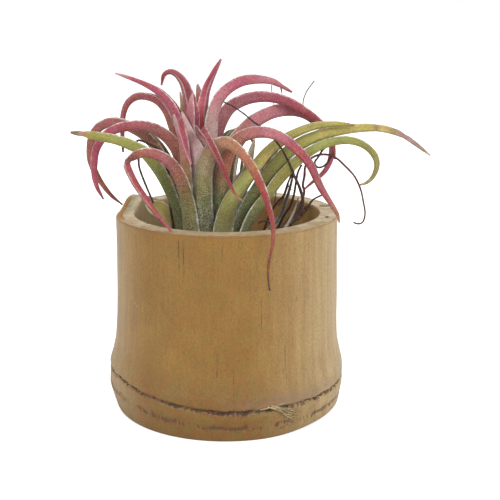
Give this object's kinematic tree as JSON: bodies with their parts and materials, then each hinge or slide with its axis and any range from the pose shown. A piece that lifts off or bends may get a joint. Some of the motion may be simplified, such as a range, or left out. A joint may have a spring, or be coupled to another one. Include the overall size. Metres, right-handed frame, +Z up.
{
  "type": "air plant in a bamboo cup",
  "caption": "Rosette of channelled, arching, blushing air plant leaves with dry strands, standing loose in a cup sawn from a bamboo culm with its node ring at the foot.",
  "frame": {"origin": "centre of the cup's flat sawn base", "axes": "+Z up along the culm, +X to the right and +Y to the back as the object is displayed"},
  "size_m": [0.1251, 0.0919, 0.1258],
  "materials": {
    "bamboo": "sawn and lightly waxed bamboo culm, tan skin with fine upright fibres, pale sawn rim",
    "woody_stem": "rough dry brown stem",
    "living_leaves": "matt leathery leaf, silvery scales, grey-green at the foot to pink, crimson, orange or olive green at the tips",
    "dead_leaves": "dry papery leaf, grey brown with dark blotches",
    "dry_strands": "thin dry wiry strand, dark purplish brown"
  },
  "bodies": {
    "root": {"bamboo_cup": "bamboo", "stem": "woody_stem", "back_leaf_1": "living_leaves", "back_leaf_2": "living_leaves", "back_leaf_3": "living_leaves", "back_leaf_4": "living_leaves", "back_leaf_5": "living_leaves", "back_leaf_6": "living_leaves", "back_leaf_7": "living_leaves", "blunt_pink_leaf": "living_leaves", "brown_arch_leaf": "living_leaves", "crimson_arch_leaf": "living_leaves", "curled_green_leaf": "living_leaves", "curling_dry_strand": "dry_strands", "dead_back_blade": "dead_leaves", "dead_front_blade": "dead_leaves", "dry_twig": "dry_strands", "forked_dry_strand": "dry_strands", "front_arch_leaf": "living_leaves", "front_crimson_leaf": "living_leaves", "front_left_leaf": "living_leaves", "green_back_arch_leaf": "living_leaves", "green_left_leaf": "living_leaves", "grey_upright_leaf": "living_leaves", "inner_dry_strand": "dry_strands", "left_dry_strand": "dry_strands", "left_hook_leaf": "living_leaves", "long_dry_strand": "dry_strands", "long_left_leaf": "living_leaves", "longest_green_leaf": "living_leaves", "looped_dry_strand": "dry_strands", "low_arched_strand": "dry_strands", "low_left_leaf": "living_leaves", "nicked_red_leaf": "living_leaves", "olive_upright_leaf": "living_leaves", "orange_front_leaf": "living_leaves", "pale_back_leaf": "living_leaves", "second_arch_leaf": "living_leaves", "short_back_leaf": "living_leaves", "silver_front_leaf": "living_leaves", "slim_green_leaf": "living_leaves", "spike_leaf": "living_leaves", "third_arch_leaf": "living_leaves", "top_arch_leaf": "living_leaves", "top_left_hook_leaf": "living_leaves", "upper_green_leaf": "living_leaves", "upright_dry_strand": "dry_strands"}
  },
  "joints": []
}
